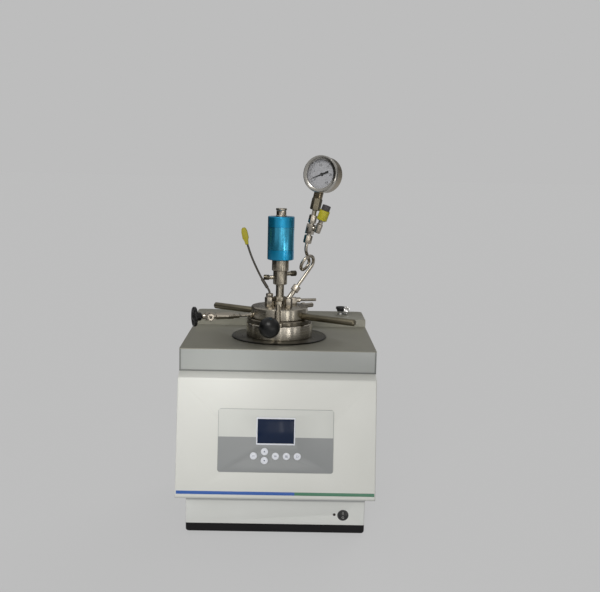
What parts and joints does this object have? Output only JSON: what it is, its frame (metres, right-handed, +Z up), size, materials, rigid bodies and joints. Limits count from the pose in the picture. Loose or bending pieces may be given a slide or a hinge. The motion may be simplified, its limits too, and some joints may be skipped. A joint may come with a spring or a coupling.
{
  "type": "bench-top high-pressure reactor",
  "caption": "Bench-top stirred pressure vessel with gauge, valve and magnetic drive, standing in a heating cabinet with a leaning keypad front.",
  "frame": {"origin": "middle of the footprint, at the underside of the feet", "axes": "+Z up, +X to the operator's right, -Y towards the operator and the leaning front"},
  "size_m": [0.36, 0.415, 0.7086],
  "materials": {
    "housing_white": "off-white powder coat",
    "cover_grey": "warm grey powder coat",
    "tray_black": "satin black moulding",
    "rubber": "matt black rubber",
    "inlet_black": "black moulded inlet",
    "overlay_grey": "printed keypad film in two greys",
    "bezel_white": "white moulding",
    "screen_dark": "dark blue display window",
    "board_green": "printed circuit board",
    "key_white": "white round keys",
    "switch_grey": "grey switch rim",
    "switch_black": "black rocker",
    "lamp_dark": "unlit lamp lens",
    "socket_black": "black socket with a chromed cap",
    "dark_steel": "heat-darkened steel",
    "mineral_wool": "pressed mineral wool",
    "band_steel": "band heater sheath",
    "block_aluminium": "turned aluminium",
    "stainless": "turned and polished stainless steel",
    "graphite": "graphite sheet",
    "bakelite_black": "black bakelite",
    "bush_bronze": "sintered bronze",
    "magnet_iron": "magnet carrier",
    "motor_steel": "motor can",
    "blue_anodised": "blue anodised aluminium",
    "yellow_plastic": "yellow moulding",
    "dial_white": "white dial",
    "pointer_black": "black pointer",
    "clear_glass": "clear window"
  },
  "bodies": {
    "frame": {"base_tray": "tray_black", "rubber_feet": "rubber", "plinth_shell": "housing_white", "cabinet_shell": "housing_white", "top_cover": "cover_grey", "rear_panel": "housing_white", "power_inlet": "inlet_black", "keypad_overlay": "overlay_grey", "display_bezel": "bezel_white", "display_screen": "screen_dark", "control_board": "board_green", "switch_bezel": "switch_grey", "power_led": "lamp_dark", "platform_socket": "socket_black", "heater_can": "dark_steel", "insulation": "mineral_wool", "band_heater": "band_steel", "heater_block": "block_aluminium", "vessel": "stainless", "head_gasket": "graphite", "head_plug": "stainless", "head": "stainless", "lever_bars": "stainless", "stirrer_neck": "stainless", "cooling_jacket": "stainless", "pressure_can": "stainless", "shaft_bushes": "bush_bronze", "drive_motor": "motor_steel", "drive_housing": "blue_anodised", "drive_connector": "stainless", "thermowell": "stainless", "probe_sheath": "stainless", "probe_plug": "yellow_plastic", "valve_body": "stainless", "outlet_port": "stainless", "sample_elbow": "stainless", "line_adaptor": "stainless", "siphon_tube": "stainless", "line_tee": "stainless", "relief_valve": "stainless", "relief_band": "yellow_plastic", "gauge_adaptor": "stainless", "gauge_case": "stainless", "gauge_dial": "dial_white", "gauge_glass": "clear_glass"},
    "lock_ring": {"lock_ring": "stainless", "ball_lever": "stainless", "ball_knob": "bakelite_black"},
    "handwheel": {"valve_handwheel": "bakelite_black"},
    "pointer": {"gauge_pointer": "pointer_black"},
    "rocker": {"switch_rocker": "switch_black"},
    "stirrer": {"stirrer_shaft": "stainless", "inner_rotor": "stainless"},
    "drive": {"drive_rotor": "magnet_iron"},
    "key_1": {"key_1": "key_white"},
    "key_2": {"key_2": "key_white"},
    "key_3": {"key_3": "key_white"},
    "key_4": {"key_4": "key_white"},
    "key_5": {"key_5": "key_white"},
    "key_6": {"key_6": "key_white"}
  },
  "joints": [
    {"name": "lock_ring_turn", "type": "hinge", "parent": "frame", "child": "lock_ring", "pos_m": [0, -0.01, 0.388], "axis": [0, 0, 1], "range_deg": [0, 30]},
    {"name": "valve_turn", "type": "hinge", "parent": "frame", "child": "handwheel", "pos_m": [0, -0.01, 0.3988], "axis": [-0.9548, -0.2974, 0], "range_deg": [0, 720]},
    {"name": "pointer_turn", "type": "hinge", "parent": "frame", "child": "pointer", "pos_m": [0.07864, -0.016, 0.67198], "axis": [0.4592, 0.8829, -0.0976], "range_deg": [-13, 257], "stiffness_Nm_per_rad": 0.0005},
    {"name": "rocker_tilt", "type": "hinge", "parent": "frame", "child": "rocker", "pos_m": [0.1274, -0.14, 0.0394], "axis": [1, 0, 0], "range_deg": [0, 16]},
    {"name": "stirrer_spin", "type": "hinge", "parent": "frame", "child": "stirrer", "pos_m": [0, -0.01, 0.4], "axis": [0, 0, 1], "continuous": true},
    {"name": "drive_spin", "type": "hinge", "parent": "frame", "child": "drive", "pos_m": [0, -0.01, 0.53], "axis": [0, 0, 1], "continuous": true},
    {"name": "key_1_press", "type": "slide", "parent": "frame", "child": "key_1", "axis": [0, 0.9811, -0.1934], "range_m": [0, 0.0005], "stiffness_N_per_m": 400},
    {"name": "key_2_press", "type": "slide", "parent": "frame", "child": "key_2", "axis": [0, 0.9811, -0.1934], "range_m": [0, 0.0005], "stiffness_N_per_m": 400},
    {"name": "key_3_press", "type": "slide", "parent": "frame", "child": "key_3", "axis": [0, 0.9811, -0.1934], "range_m": [0, 0.0005], "stiffness_N_per_m": 400},
    {"name": "key_4_press", "type": "slide", "parent": "frame", "child": "key_4", "axis": [0, 0.9811, -0.1934], "range_m": [0, 0.0005], "stiffness_N_per_m": 400},
    {"name": "key_5_press", "type": "slide", "parent": "frame", "child": "key_5", "axis": [0, 0.9811, -0.1934], "range_m": [0, 0.0005], "stiffness_N_per_m": 400},
    {"name": "key_6_press", "type": "slide", "parent": "frame", "child": "key_6", "axis": [0, 0.9811, -0.1934], "range_m": [0, 0.0005], "stiffness_N_per_m": 400}
  ],
  "couplings": [
    {"joint": "stirrer_spin", "follows": "drive_spin", "ratio": 1}
  ]
}
